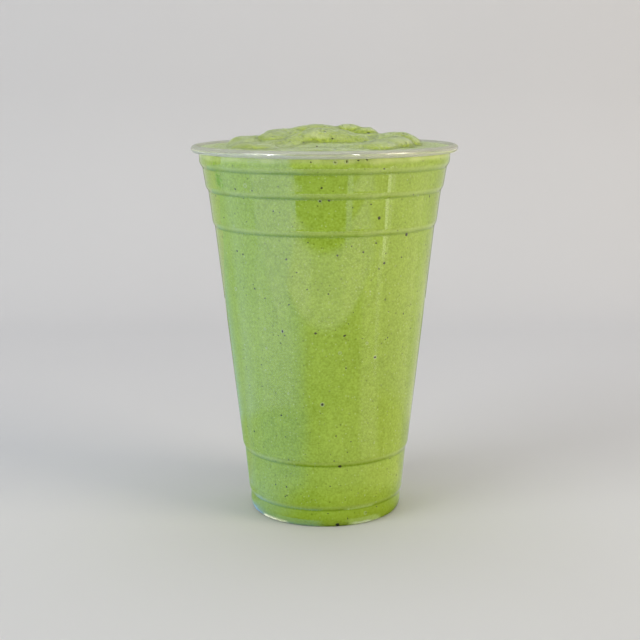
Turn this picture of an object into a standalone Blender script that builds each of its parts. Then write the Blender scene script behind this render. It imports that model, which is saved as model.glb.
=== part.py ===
"""Green smoothie in a tall clear cold-drink cup, filled to the brim and heaped above it.

Two pieces: the cup, one thin sheet with a rolled lip, stepped bands and a recessed
base, and the drink, which fills it and rises over the lip in soft folds with flecks.
Units are metres, +Z is up, and the origin is at the middle of the foot.
"""

import math
import random

import bmesh
import bpy
import numpy as np
from mathutils import Matrix, Vector

MM = 0.001

# Driving sizes of the cup, from the photograph with the lip at a 98 mm lid's size
LIP_RADIUS = 49.0 * MM
CUP_HEIGHT = 138.4 * MM
SHEET = 0.5 * MM
LIP_HEIGHT = 2.7 * MM

# Straight bands of the wall from the foot up, as (low z, low radius, high z, high radius)
# of the outer face. Between two of them the wall steps in by a small rounded shoulder.
BANDS = [
    (3.9 * MM, 28.90 * MM, 6.6 * MM, 28.75 * MM),
    (9.0 * MM, 29.52 * MM, 24.1 * MM, 30.92 * MM),
    (27.2 * MM, 31.80 * MM, 108.9 * MM, 40.80 * MM),
    (111.4 * MM, 41.66 * MM, 121.9 * MM, 42.98 * MM),
    (124.4 * MM, 44.02 * MM, 130.4 * MM, 44.98 * MM),
    (132.9 * MM, 46.05 * MM, 135.6 * MM, 46.15 * MM),
]
SHOULDER_POINTS = 2

# Base: a flat ring to stand on, and a panel raised inside it
RING_INNER = 25.8 * MM
RING_OUTER = 27.0 * MM
PANEL_RADIUS = 23.9 * MM
PANEL_RISE = 2.6 * MM
PANEL_CROWN = 0.7 * MM
FOOT_POINTS = 3

# Rolled lip: the sheet turns out and down until it points back at the wall
CURL_END = math.radians(-105)
CURL_POINTS = 8

SIDES = 52
DRINK_GAP = 0.3 * MM

# The drink meets the wall just below the lip and rises in a low heap towards the middle
FILL_LEVEL = 137.0 * MM
CROWN = 1.1 * MM
CROWN_POWER = 6
HEAP = 2.9 * MM
HEAP_RADIUS = 36.0 * MM
HEAP_POWER = 1.3
MOUND_RINGS = 22

# Folds that lie on the heap. Each follows an arc through a start, a middle and an end,
# given as (x, y, height over the fill level), and has a half width in front of the arc
# and one behind it, all in mm. The side that the photograph shows is towards -Y.
FOLDS = [
    # Right front fold, its high shoulder, and the saddle behind
    ((5.5, -31.0, 0.9), (17.0, -27.0, 3.4), (26.0, -15.5, 4.6), 8.0, 11.0),
    ((21.5, -8.5, 4.7), (26.0, -6.0, 5.8), (27.5, -1.0, 4.8), 11.0, 10.0),
    ((14.0, -3.0, 5.0), (20.0, -2.0, 5.0), (24.0, -3.0, 5.0), 8.0, 10.0),
    # Two knobs at the back of the top
    ((6.5, 3.0, 8.1), (9.0, 2.5, 8.4), (11.5, 2.0, 7.2), 6.0, 10.0),
    ((12.0, 2.0, 7.1), (14.5, 1.5, 7.3), (16.0, 2.5, 7.1), 7.0, 10.0),
    # Crest of the middle, and the ridge that falls to both sides in front of it
    ((-11.0, -1.0, 6.4), (-3.5, 0.5, 8.5), (4.5, 0.5, 6.9), 9.0, 10.0),
    ((-13.0, -19.0, 2.4), (-8.0, -14.0, 5.6), (-2.5, -11.5, 7.5), 11.0, 9.0),
    ((-2.5, -11.5, 7.5), (4.5, -11.0, 6.9), (13.5, -12.5, 4.2), 11.0, 9.0),
    # Left folds, the upper one first
    ((-17.5, -9.0, 5.7), (-16.5, -3.5, 6.9), (-9.0, -2.0, 6.6), 11.0, 10.0),
    ((-20.0, -16.0, 2.9), (-14.0, -17.0, 3.8), (-7.0, -18.0, 3.6), 8.0, 9.0),
    ((-27.0, -10.0, 4.0), (-27.0, -4.5, 4.6), (-22.0, -2.0, 4.0), 10.0, 10.0),
    ((-28.5, -18.0, 1.8), (-25.0, -21.0, 2.8), (-16.0, -24.0, 1.5), 8.0, 9.0),
    # Low apron along the front
    ((-15.0, -33.0, 1.2), (-2.0, -33.0, 1.7), (10.0, -34.0, 1.3), 10.0, 12.0),
    # Back half: two inner folds and three outer ones
    ((-19.0, 9.0, 4.0), (-12.0, 14.0, 5.4), (-1.0, 14.0, 6.0), 10.0, 11.0),
    ((1.0, 14.0, 6.0), (12.0, 15.0, 5.0), (19.0, 9.0, 3.8), 10.0, 11.0),
    ((-26.0, 9.0, 2.6), (-21.0, 20.0, 3.0), (-11.0, 25.0, 3.0), 10.0, 10.0),
    ((-9.0, 26.0, 2.8), (6.0, 27.0, 3.2), (17.0, 21.0, 2.6), 11.0, 10.0),
    ((22.5, 5.0, 3.4), (25.0, 11.0, 3.0), (21.0, 19.0, 2.4), 11.0, 11.0),
]
ARC_POINTS = 14
END_SHARE = 0.8
FOLD_POWER = 2.3
FOLD_ROUND = 0.56
FOLD_BLEND = 0.26 * MM
WALL_SHARE = 0.12

# Gentle wander of the folds, as (size in mm, waves per mm along x and y, phase)
WANDER = [
    (0.7, 0.045, 0.075, 0.4),
    (0.35, 0.105, -0.065, 2.1),
]

# Dark flecks of leaf and seed in the top: two that the photograph shows, as (x, y), and
# others spread evenly over the rest
FLECKS_SEEN = [(-2.7 * MM, -29.0 * MM), (2.7 * MM, -20.5 * MM)]
FLECKS_SPREAD = 12
FLECK_SIZE = (0.38 * MM, 0.58 * MM)
FLECK_FLATTEN = 0.6
FLECK_REACH = 33.0 * MM
FLECK_SEED = 24

CLEAR_COLOUR = (0.86, 0.90, 0.88, 1.0)
DRINK_COLOUR = (0.30, 0.46, 0.07, 1.0)


def clear_scene():
    """Removes the objects of the scene that the script starts in."""
    for thing in list(bpy.data.objects):
        bpy.data.objects.remove(thing, do_unlink=True)


def new_collection(name):
    """A collection of that name, linked to the scene."""
    made = bpy.data.collections.new(name)
    bpy.context.scene.collection.children.link(made)
    return made


def shoulder(low, high):
    """Points of the S-shaped step from the top of one band to the foot of the next."""
    points = []
    for i in range(1, SHOULDER_POINTS + 1):
        share = i / (SHOULDER_POINTS + 1)
        eased = share * share * (3 - 2 * share)
        points.append(
            (low[0] + (high[0] - low[0]) * eased, low[1] + (high[1] - low[1]) * share)
        )
    return points


def foot_line(start, end):
    """Points of the rounded foot, a quarter ellipse from the standing ring to the wall."""
    points = []
    for i in range(1, FOOT_POINTS + 1):
        angle = 0.5 * math.pi * i / (FOOT_POINTS + 1)
        points.append(
            (
                start[0] + (end[0] - start[0]) * math.sin(angle),
                end[1] + (start[1] - end[1]) * math.cos(angle),
            )
        )
    return points


def curl_line(wall_radius):
    """Points of the rolled lip, an oval arc that starts at the top of the wall."""
    half_width = (LIP_RADIUS - SHEET / 2 - wall_radius) / 2
    half_height = (LIP_HEIGHT - SHEET) / 2
    middle = (wall_radius + half_width, CUP_HEIGHT - SHEET / 2 - half_height)
    points = []
    for i in range(CURL_POINTS + 1):
        angle = math.pi + (CURL_END - math.pi) * i / CURL_POINTS
        points.append(
            (
                middle[0] + half_width * math.cos(angle),
                middle[1] + half_height * math.sin(angle),
            )
        )
    return points


def sheet_line():
    """Middle of the cup's sheet as (radius, z), from the centre of the base to the lip."""
    half = SHEET / 2
    line = [
        (0.0, PANEL_RISE + PANEL_CROWN + half),
        (0.5 * PANEL_RADIUS, PANEL_RISE + 0.75 * PANEL_CROWN + half),
        (PANEL_RADIUS, PANEL_RISE + half),
        (RING_INNER, half),
        (RING_OUTER, half),
    ]
    walls = [
        ((low_r - half, low_z), (high_r - half, high_z))
        for low_z, low_r, high_z, high_r in BANDS
    ]
    line += foot_line(line[-1], walls[0][0])
    for index, (low, high) in enumerate(walls):
        if index:
            line += shoulder(walls[index - 1][1], low)
        line += [low, high]
    return line + curl_line(line[-1][0])


def offset_line(line, distance):
    """The line moved sideways by the distance, positive to its right as it runs."""
    moved = []
    for i, here in enumerate(line):
        before = Vector(line[max(i - 1, 0)])
        after = Vector(line[min(i + 1, len(line) - 1)])
        into = (Vector(here) - before) if i else (after - Vector(here))
        out = (after - Vector(here)) if i < len(line) - 1 else into
        into.normalize()
        out.normalize()
        mean = (into + out).normalized()
        stretch = 1 / max(mean.dot(into), 0.5)
        side = Vector((mean.y, -mean.x)) * (distance * stretch)
        moved.append((here[0] + side.x if i else 0.0, here[1] + side.y))
    return moved


def turned(name, profile, sides, collection):
    """A solid of revolution from a closed (radius, z) profile that starts on the axis."""
    mesh = bpy.data.meshes.new(name + "_profile")
    points = [(radius, 0.0, z) for radius, z in profile]
    edges = [(i, i + 1) for i in range(len(points) - 1)]
    mesh.from_pydata(points, edges, [])
    thing = bpy.data.objects.new(name, mesh)
    collection.objects.link(thing)
    screw = thing.modifiers.new("Turn", "SCREW")
    screw.axis = "Z"
    screw.angle = 2 * math.pi
    screw.steps = sides
    screw.render_steps = sides
    screw.use_merge_vertices = True
    screw.merge_threshold = 0.00001
    screw.use_smooth_shade = False
    return thing


def applied(thing):
    """The object with its modifiers made part of its mesh."""
    graph = bpy.context.evaluated_depsgraph_get()
    mesh = bpy.data.meshes.new_from_object(thing.evaluated_get(graph))
    thing.modifiers.clear()
    thing.data = mesh
    return thing


def finish(thing, colour, roughness, transmission=0.0):
    """Gives the piece its plain material and smooth shading with sharp corners kept."""
    material = bpy.data.materials.new(thing.name + "_finish")
    material.use_nodes = True
    shader = material.node_tree.nodes["Principled BSDF"]
    shader.inputs["Base Color"].default_value = colour
    shader.inputs["Roughness"].default_value = roughness
    shader.inputs["Metallic"].default_value = 0.0
    shader.inputs["Transmission Weight"].default_value = transmission
    thing.data.materials.clear()
    thing.data.materials.append(material)
    thing.data.shade_smooth()
    thing.data.set_sharp_from_angle(angle=math.radians(40))


def wandered(x, y):
    """The plan place, in mm, that the folds are read at, moved a little from x and y."""
    moved_x, moved_y = x, y
    for size, along, across, phase in WANDER:
        angle = 2 * math.pi * (along * x + across * y) + phase
        moved_x = moved_x + size * np.sin(angle)
        moved_y = moved_y + size * np.cos(angle * 0.8 + 1.3)
    return moved_x, moved_y


def arc_place(fold, share):
    """The place, in mm, at a share of the way along the arc of a fold."""
    start, middle, end = fold[:3]
    at_start = (1 - share) * (1 - 2 * share)
    at_middle = 4 * share * (1 - share)
    at_end = share * (2 * share - 1)
    return [
        at_start * a + at_middle * b + at_end * c for a, b, c in zip(start, middle, end)
    ]


def fold_height(x, y, fold):
    """Height over the fill level of one rounded fold, in metres, at x and y in mm."""
    front, behind = fold[3:]
    end_width = END_SHARE * min(front, behind)
    height = np.zeros_like(x)
    for i in range(ARC_POINTS):
        arc_x, arc_y, top = arc_place(fold, i / (ARC_POINTS - 1))
        width = np.where(y < arc_y, front, behind)
        reach = np.abs((x - arc_x) / end_width) ** FOLD_POWER
        reach = reach + np.abs((y - arc_y) / width) ** FOLD_POWER
        height = np.maximum(height, top * np.clip(1 - reach, 0, 1) ** FOLD_ROUND)
    return height * MM


def mound_height(x, y, edge_radius):
    """Height of the drink's top, in metres, over plan places given in metres."""
    plan_x, plan_y = wandered(x / MM, y / MM)
    radius = np.hypot(x, y)
    share = np.clip(radius / edge_radius, 0, 1)
    heap = CROWN * (1 - share**CROWN_POWER)
    heap = heap + HEAP * np.clip(1 - (radius / HEAP_RADIUS) ** 2, 0, 1) ** HEAP_POWER
    total = np.exp(heap / FOLD_BLEND)
    for fold in FOLDS:
        total = total + np.exp(fold_height(plan_x, plan_y, fold) / FOLD_BLEND)
    # Near the wall the folds sink into the flat rim of the drink
    inside = np.clip((1 - share) / WALL_SHARE, 0, 1)
    eased = inside * inside * (3 - 2 * inside)
    return FILL_LEVEL + FOLD_BLEND * np.log(total) * eased


def wall_inside(line):
    """The drink's side: the sheet line brought in by half the sheet and the gap, up to the fill."""
    side = []
    for point in offset_line(line, -(SHEET / 2 + DRINK_GAP)):
        if point[1] >= FILL_LEVEL:
            break
        side.append(point)
    return side + [(side[-1][0], FILL_LEVEL)]


def make_cup(collection):
    """The cup: one sheet of even thickness from the base panel to the end of the curl."""
    line = sheet_line()
    inner = offset_line(line, -SHEET / 2)
    outer = offset_line(line, SHEET / 2)
    cup = turned("cup", inner + outer[::-1], SIDES, collection)
    applied(cup)
    finish(cup, CLEAR_COLOUR, 0.05, transmission=1.0)
    return cup


def fleck_places(draw):
    """Plan places of the flecks: those seen, then a golden-angle spiral with small shifts."""
    places = list(FLECKS_SEEN)
    for number in range(FLECKS_SPREAD):
        radius = FLECK_REACH * math.sqrt((number + 0.5) / FLECKS_SPREAD)
        angle = number * math.pi * (3 - math.sqrt(5)) + draw.uniform(-0.3, 0.3)
        places.append((radius * math.cos(angle), radius * math.sin(angle)))
    return places


def make_flecks(edge_radius):
    """Small flattened flecks half sunk in the mound, in a collection for the union."""
    flecks = new_collection("flecks")
    draw = random.Random(FLECK_SEED)
    for number, (x, y) in enumerate(fleck_places(draw)):
        z = float(mound_height(np.array(x), np.array(y), edge_radius))
        mesh = bpy.data.meshes.new(f"fleck_{number:02d}")
        shape = bmesh.new()
        bmesh.ops.create_icosphere(shape, subdivisions=1, radius=draw.uniform(*FLECK_SIZE))
        squash = Matrix.Diagonal((1.0, draw.uniform(0.6, 0.9), FLECK_FLATTEN, 1.0))
        turn = Matrix.Rotation(draw.uniform(0, math.pi), 4, "Z")
        bmesh.ops.transform(
            shape, matrix=Matrix.Translation((x, y, z)) @ turn @ squash, verts=shape.verts
        )
        shape.to_mesh(mesh)
        shape.free()
        flecks.objects.link(bpy.data.objects.new(mesh.name, mesh))
    return flecks


def make_smoothie(collection):
    """The drink: a turned body whose top rings are raised into the folds of the mound."""
    side = wall_inside(sheet_line())
    edge_radius = side[-1][0]
    rings = [edge_radius * (1 - i / MOUND_RINGS) for i in range(1, MOUND_RINGS + 1)]
    top = [(radius, FILL_LEVEL) for radius in rings]
    profile = (side + top)[::-1]
    smoothie = applied(turned("smoothie", profile, SIDES, collection))
    places = np.empty(len(smoothie.data.vertices) * 3)
    smoothie.data.vertices.foreach_get("co", places)
    places = places.reshape(-1, 3)
    on_top = places[:, 2] > FILL_LEVEL - 0.01 * MM
    x, y = places[on_top, 0], places[on_top, 1]
    places[on_top, 2] = mound_height(x, y, edge_radius)
    smoothie.data.vertices.foreach_set("co", places.ravel())
    flecks = make_flecks(edge_radius)
    union = smoothie.modifiers.new("Flecks", "BOOLEAN")
    union.operation = "UNION"
    union.operand_type = "COLLECTION"
    union.collection = flecks
    union.solver = "MANIFOLD"
    applied(smoothie)
    for fleck in list(flecks.objects):
        bpy.data.objects.remove(fleck, do_unlink=True)
    bpy.data.collections.remove(flecks)
    finish(smoothie, DRINK_COLOUR, 0.45)
    return smoothie


def main():
    """Builds the cup and the drink."""
    clear_scene()
    collection = new_collection("green_smoothie")
    make_cup(collection)
    make_smoothie(collection)


main()
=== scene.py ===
# %% [markdown]
# # A green smoothie in a clear cup
#
# The object is a takeaway drink: a thin clear cup, pressed from one heated sheet of plastic,
# filled past its lip with a thick green smoothie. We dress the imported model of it, which has
# two solids, `cup` and `smoothie`, and which fixes every size and place.
#
# Each solid is replaced by a finer mesh of the same form. The small things that sit in the
# drink, which are flecks, bubbles and bits of leaf, become meshes of their own.

import math
import random

import bpy
import numpy as np
from mathutils import Euler, Matrix, Vector


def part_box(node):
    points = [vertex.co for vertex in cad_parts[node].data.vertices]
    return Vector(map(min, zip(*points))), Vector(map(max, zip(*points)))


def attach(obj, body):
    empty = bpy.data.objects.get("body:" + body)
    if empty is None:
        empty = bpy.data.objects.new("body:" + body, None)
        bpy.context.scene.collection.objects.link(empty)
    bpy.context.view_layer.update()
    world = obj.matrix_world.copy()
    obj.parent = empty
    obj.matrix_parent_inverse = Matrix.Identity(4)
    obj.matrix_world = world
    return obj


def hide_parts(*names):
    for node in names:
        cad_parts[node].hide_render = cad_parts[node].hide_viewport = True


MM = 0.001

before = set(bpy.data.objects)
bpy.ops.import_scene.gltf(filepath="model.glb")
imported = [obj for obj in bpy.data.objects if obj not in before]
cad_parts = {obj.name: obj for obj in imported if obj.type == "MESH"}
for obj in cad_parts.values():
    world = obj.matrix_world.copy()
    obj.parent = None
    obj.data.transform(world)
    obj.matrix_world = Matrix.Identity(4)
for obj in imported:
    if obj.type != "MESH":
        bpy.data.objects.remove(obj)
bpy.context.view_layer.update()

# %% [markdown]
# ## The camera first
#
# The photograph was taken a little above the lip, from about half a metre. Knowing the
# camera early lets us put a fleck exactly where the photograph shows it: a line of sight
# through a pixel meets the drink at one place, which is then an ordinary place in space.

# %% Place the camera
FRAME_PIXELS = 640
FOCAL_PIXELS = 1230.0
SENSOR_MM = 36.0
CAMERA_PLACE = Vector((-1.9, -456.9, 162.2)) * MM
CAMERA_PITCH = math.radians(-11.14)
CAMERA_ROLL = math.radians(-0.24)

camera_data = bpy.data.cameras.new("camera")
camera_data.sensor_width = SENSOR_MM
camera_data.lens = FOCAL_PIXELS / FRAME_PIXELS * SENSOR_MM
camera_data.clip_start = 0.01
camera = bpy.data.objects.new("camera", camera_data)
camera.location = CAMERA_PLACE
camera.rotation_euler = (math.radians(90) + CAMERA_PITCH, 0.0, 0.0)
camera.rotation_euler.rotate_axis("Z", CAMERA_ROLL)
bpy.context.scene.collection.objects.link(camera)
bpy.context.scene.camera = camera
print("lens in mm:", round(camera_data.lens, 1))


def sight_line(pixel_x, pixel_y):
    """Direction, in the frame of the object, of the line of sight through a pixel."""
    half = FRAME_PIXELS / 2
    ray = Vector(((pixel_x - half) / FOCAL_PIXELS, (half - pixel_y) / FOCAL_PIXELS, -1.0))
    ray.rotate(camera.rotation_euler)
    return ray.normalized()


# %% [markdown]
# ## The sheet of the cup
#
# A cup like this is drawn from a flat sheet, so its wall has one thickness everywhere, and
# the steps between its bands are soft on both faces. We describe the middle of the sheet
# once, as a line of radius and height, and move that line sideways to get each face.
# A spline could do it too, but a few bands with an easing curve between them are easier
# to measure and to change.

# %% Sizes of the cup
LIP_RADIUS = 49.0 * MM
CUP_HEIGHT = 138.4 * MM
SHEET = 0.5 * MM
LIP_HEIGHT = 2.7 * MM
# Height and radius of the outer face at the bottom of each band, then at its top
BANDS = [
    (3.9 * MM, 28.90 * MM, 6.6 * MM, 28.75 * MM),
    (9.0 * MM, 29.52 * MM, 24.1 * MM, 30.92 * MM),
    (27.2 * MM, 31.80 * MM, 108.9 * MM, 40.80 * MM),
    (111.4 * MM, 41.66 * MM, 121.9 * MM, 42.98 * MM),
    (124.4 * MM, 44.02 * MM, 130.4 * MM, 44.98 * MM),
    (132.9 * MM, 46.05 * MM, 135.6 * MM, 46.15 * MM),
]
SHOULDER_POINTS = 9
CORNER_STEPS = [0.3 * MM, 0.6 * MM, 1.0 * MM]
RING_INNER = 25.8 * MM
RING_OUTER = 27.0 * MM
PANEL_RADIUS = 23.9 * MM
PANEL_RISE = 2.6 * MM
PANEL_CROWN = 0.7 * MM
PANEL_POINTS = 6
FOOT_POINTS = 10
CURL_END = math.radians(-105)
CURL_POINTS = 26
print("bands of the wall:", len(BANDS))

# %% Draw the middle line of the sheet


def eased(share):
    """Smooth start and stop between 0 and 1."""
    return share * share * (3 - 2 * share)


def shouldered(share):
    """Leaves the lower band at a tight corner and meets the upper one in a soft round."""
    return math.sin(0.5 * math.pi * share)


def shares(count):
    """Evenly spaced shares between 0 and 1, without the ends."""
    return [i / (count + 1) for i in range(1, count + 1)]


def panel_line():
    """The domed panel of the base and the slope down to the standing ring."""
    points = []
    for i in range(PANEL_POINTS + 1):
        share = i / PANEL_POINTS
        points.append((share * PANEL_RADIUS, PANEL_RISE + PANEL_CROWN * (1 - share**2)))
    return points + [(RING_INNER, 0.0), (RING_OUTER, 0.0)]


def foot_line(start, end):
    """The rounded foot, a quarter ellipse from the standing ring to the wall."""
    return [
        (
            start[0] + (end[0] - start[0]) * math.sin(0.5 * math.pi * share),
            end[1] + (start[1] - end[1]) * math.cos(0.5 * math.pi * share),
        )
        for share in shares(FOOT_POINTS)
    ]


def curl_line(wall_radius):
    """The rolled lip, an oval arc that starts at the top of the wall."""
    half_width = (LIP_RADIUS - SHEET / 2 - wall_radius) / 2
    half_height = (LIP_HEIGHT - SHEET) / 2
    middle = (wall_radius + half_width, CUP_HEIGHT - SHEET / 2 - half_height)
    turns = [math.pi + (CURL_END - math.pi) * i / CURL_POINTS for i in range(CURL_POINTS + 1)]
    return [
        (middle[0] + half_width * math.cos(turn), middle[1] + half_height * math.sin(turn))
        for turn in turns
    ]


def band_line(low, high):
    """One straight band, with extra points near both of its corners."""
    length = math.dist(low, high)
    steps = [0.0] + [step for step in CORNER_STEPS if step < length / 2]
    along = [step / length for step in steps] + [1 - step / length for step in steps[::-1]]
    return [(low[0] + (high[0] - low[0]) * a, low[1] + (high[1] - low[1]) * a) for a in along]


def sheet_line():
    """Middle of the sheet as (radius, z), from the centre of the base to the lip."""
    half = SHEET / 2
    line = [(radius, z + half) for radius, z in panel_line()]
    walls = [((lr - half, lz), (hr - half, hz)) for lz, lr, hz, hr in BANDS]
    line += foot_line(line[-1], walls[0][0])
    for index, (low, high) in enumerate(walls):
        if index:
            before = walls[index - 1][1]
            for share in shares(SHOULDER_POINTS):
                radius = before[0] + (low[0] - before[0]) * shouldered(share)
                line.append((radius, before[1] + (low[1] - before[1]) * share))
        line += band_line(low, high)
    return line + curl_line(line[-1][0])


middle_line = sheet_line()
print("points along the sheet:", len(middle_line))

# %% Move the line sideways, and turn a line into a solid


def offset_line(line, distance):
    """The line moved sideways by the distance, positive to its right as it runs."""
    moved = []
    for i, here in enumerate(line):
        before = Vector(line[max(i - 1, 0)])
        after = Vector(line[min(i + 1, len(line) - 1)])
        into = (Vector(here) - before) if i else (after - Vector(here))
        out = (after - Vector(here)) if i < len(line) - 1 else into
        into.normalize()
        out.normalize()
        mean = (into + out).normalized()
        stretch = 1 / max(mean.dot(into), 0.5)
        side = Vector((mean.y, -mean.x)) * (distance * stretch)
        moved.append((here[0] + side.x if i else 0.0, here[1] + side.y))
    return moved


def lathe_faces(rings, sides):
    """Faces of a turned mesh: vertex 0 and the last one on the axis, rings between them."""
    last = 1 + rings * sides
    nexts = [(j + 1) % sides for j in range(sides)]
    faces = [(0, 1 + j, 1 + nexts[j]) for j in range(sides)]
    for i in range(rings - 1):
        low, high = 1 + i * sides, 1 + (i + 1) * sides
        faces += [(low + j, high + j, high + nexts[j], low + nexts[j]) for j in range(sides)]
    low = 1 + (rings - 1) * sides
    faces += [(low + j, last, low + nexts[j]) for j in range(sides)]
    return faces


def lathe_places(profile, sides):
    """Vertices of a turned mesh as an array, for a profile that starts and ends on the axis."""
    turn = np.arange(sides) * (2 * math.pi / sides)
    radius = np.array([p[0] for p in profile[1:-1]])[:, None]
    z = np.array([p[1] for p in profile[1:-1]])[:, None]
    rings = np.stack([radius * np.cos(turn), radius * np.sin(turn), z + 0 * turn], axis=-1)
    ends = np.array([[0, 0, profile[0][1]], [0, 0, profile[-1][1]]])
    return np.concatenate([ends[:1], rings.reshape(-1, 3), ends[1:]])


def new_piece(name, places, faces):
    """A smooth-shaded mesh object that rides on the object's one body."""
    mesh = bpy.data.meshes.new(name)
    mesh.from_pydata([tuple(p) for p in places], [], faces)
    mesh.validate()
    mesh.shade_smooth()
    piece = bpy.data.objects.new(name, mesh)
    bpy.context.scene.collection.objects.link(piece)
    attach(piece, "root")
    return piece


print("helpers ready")

# %% [markdown]
# ## The cup
#
# The real cup is one closed skin with an inner and an outer face that meet at the end of the
# curled lip. Clear plastic only looks right when light can enter one face and leave by the
# other, so the mesh has both faces too, and no gap or doubled face.

# %% Turn the cup
CUP_SIDES = 224

inner_face = offset_line(middle_line, -SHEET / 2)
outer_face = offset_line(middle_line, SHEET / 2)
cup_profile = inner_face + outer_face[::-1]
cup = new_piece(
    "clear_cup",
    lathe_places(cup_profile, CUP_SIDES),
    lathe_faces(len(cup_profile) - 2, CUP_SIDES),
)
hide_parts("cup")
print("cup faces:", len(cup.data.polygons))

# %% [markdown]
# ## The mound
#
# Thick smoothie folds over itself as it is poured, like soft cream. Each fold is a rounded
# ridge that follows a short arc, and the top of the drink is the highest of them at every
# place. Blending them a little keeps the creases soft. The folds are the same as those of
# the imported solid, read on a much finer grid.

# %% Folds of the mound
FILL_LEVEL = 137.0 * MM
CROWN = 1.1 * MM
CROWN_POWER = 6
HEAP = 2.9 * MM
HEAP_RADIUS = 36.0 * MM
HEAP_POWER = 1.3
# Start, middle and end of each arc as (x, y, height over the fill level), then half the
# width in front of the arc and behind it, all in mm
FOLDS = [
    ((5.5, -31.0, 0.9), (17.0, -27.0, 3.4), (26.0, -15.5, 4.6), 8.0, 11.0),
    ((21.5, -8.5, 4.7), (26.0, -6.0, 5.8), (27.5, -1.0, 4.8), 11.0, 10.0),
    ((14.0, -3.0, 5.0), (20.0, -2.0, 5.0), (24.0, -3.0, 5.0), 8.0, 10.0),
    ((6.5, 3.0, 8.1), (9.0, 2.5, 8.4), (11.5, 2.0, 7.2), 6.0, 10.0),
    ((12.0, 2.0, 7.1), (14.5, 1.5, 7.3), (16.0, 2.5, 7.1), 7.0, 10.0),
    ((-11.0, -1.0, 6.4), (-3.5, 0.5, 8.5), (4.5, 0.5, 6.9), 9.0, 10.0),
    ((-13.0, -19.0, 2.4), (-8.0, -14.0, 5.6), (-2.5, -11.5, 7.5), 11.0, 9.0),
    ((-2.5, -11.5, 7.5), (4.5, -11.0, 6.9), (13.5, -12.5, 4.2), 11.0, 9.0),
    ((-17.5, -9.0, 5.7), (-16.5, -3.5, 6.9), (-9.0, -2.0, 6.6), 11.0, 10.0),
    ((-20.0, -16.0, 2.9), (-14.0, -17.0, 3.8), (-7.0, -18.0, 3.6), 8.0, 9.0),
    ((-27.0, -10.0, 4.0), (-27.0, -4.5, 4.6), (-22.0, -2.0, 4.0), 10.0, 10.0),
    ((-28.5, -18.0, 1.8), (-25.0, -21.0, 2.8), (-16.0, -24.0, 1.5), 8.0, 9.0),
    ((-15.0, -33.0, 1.2), (-2.0, -33.0, 1.7), (10.0, -34.0, 1.3), 10.0, 12.0),
    ((-19.0, 9.0, 4.0), (-12.0, 14.0, 5.4), (-1.0, 14.0, 6.0), 10.0, 11.0),
    ((1.0, 14.0, 6.0), (12.0, 15.0, 5.0), (19.0, 9.0, 3.8), 10.0, 11.0),
    ((-26.0, 9.0, 2.6), (-21.0, 20.0, 3.0), (-11.0, 25.0, 3.0), 10.0, 10.0),
    ((-9.0, 26.0, 2.8), (6.0, 27.0, 3.2), (17.0, 21.0, 2.6), 11.0, 10.0),
    ((22.5, 5.0, 3.4), (25.0, 11.0, 3.0), (21.0, 19.0, 2.4), 11.0, 11.0),
]
ARC_POINTS = 30
END_SHARE = 0.8
FOLD_POWER = 2.3
FOLD_ROUND = 0.56
FOLD_BLEND = 0.26 * MM
WALL_SHARE = 0.12
# How far the place along a fold moves on, in mm: for each radian round its end, and from one
# fold to the next where they aren't joined
TURN_RADIUS = 5.0
FOLD_APART = 37.0
# Size in mm, waves for each mm along X and Y, and phase
WANDER = [
    (0.7, 0.045, 0.075, 0.4),
    (0.35, 0.105, -0.065, 2.1),
]
# The bend along Y has a slower wave, shifted by this phase
CROSS_PACE = 0.8
CROSS_PHASE = 1.3
print("folds:", len(FOLDS))

# %% Edge of the drink
INTO_WALL = 0.2 * MM

drink_side = [p for p in offset_line(middle_line, INTO_WALL - SHEET / 2) if p[1] < FILL_LEVEL]
drink_side = drink_side[: 1 + max(range(len(drink_side)), key=lambda i: drink_side[i][1])]
edge_radius = drink_side[-1][0]
print("radius of the drink's edge in mm:", round(edge_radius / MM, 2))

# %% A fine grid over the mound
GRID_STEP = 0.25 * MM
GRID_HALF = math.ceil(edge_radius / GRID_STEP) + 6

grid_axis = np.arange(-GRID_HALF, GRID_HALF + 1) * GRID_STEP
grid_x, grid_y = np.meshgrid(grid_axis, grid_axis, indexing="ij")
grid_radius = np.hypot(grid_x, grid_y)


def read_grid(grid, x, y):
    """Values of a grid at plan places in metres, blended between its four nearest points."""
    column = np.clip(np.asarray(x) / GRID_STEP + GRID_HALF, 0, 2 * GRID_HALF - 1e-6)
    row = np.clip(np.asarray(y) / GRID_STEP + GRID_HALF, 0, 2 * GRID_HALF - 1e-6)
    i, j = column.astype(int), row.astype(int)
    share_x, share_y = column - i, row - j
    near = grid[i, j] * (1 - share_x) + grid[i + 1, j] * share_x
    far = grid[i, j + 1] * (1 - share_x) + grid[i + 1, j + 1] * share_x
    return near * (1 - share_y) + far * share_y


def softened(grid, reach):
    """The grid blurred over that many steps, twice, along both axes."""
    for axis in (0, 1, 0, 1):
        grid = sum(np.roll(grid, k, axis) for k in range(-reach, reach + 1)) / (2 * reach + 1)
    return grid


print("grid points:", grid_x.size)

# %% Height of the mound


def wandered(x, y):
    """The plan place, in mm, that the folds are read at, moved a little from x and y."""
    moved_x, moved_y = x, y
    for size, along, across, phase in WANDER:
        angle = 2 * math.pi * (along * x + across * y) + phase
        moved_x = moved_x + size * np.sin(angle)
        moved_y = moved_y + size * np.cos(angle * CROSS_PACE + CROSS_PHASE)
    return moved_x, moved_y


def arc_length(fold):
    """Length of a fold's arc in mm, seen from above."""
    return math.dist(fold[0][:2], fold[1][:2]) + math.dist(fold[1][:2], fold[2][:2])


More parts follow.
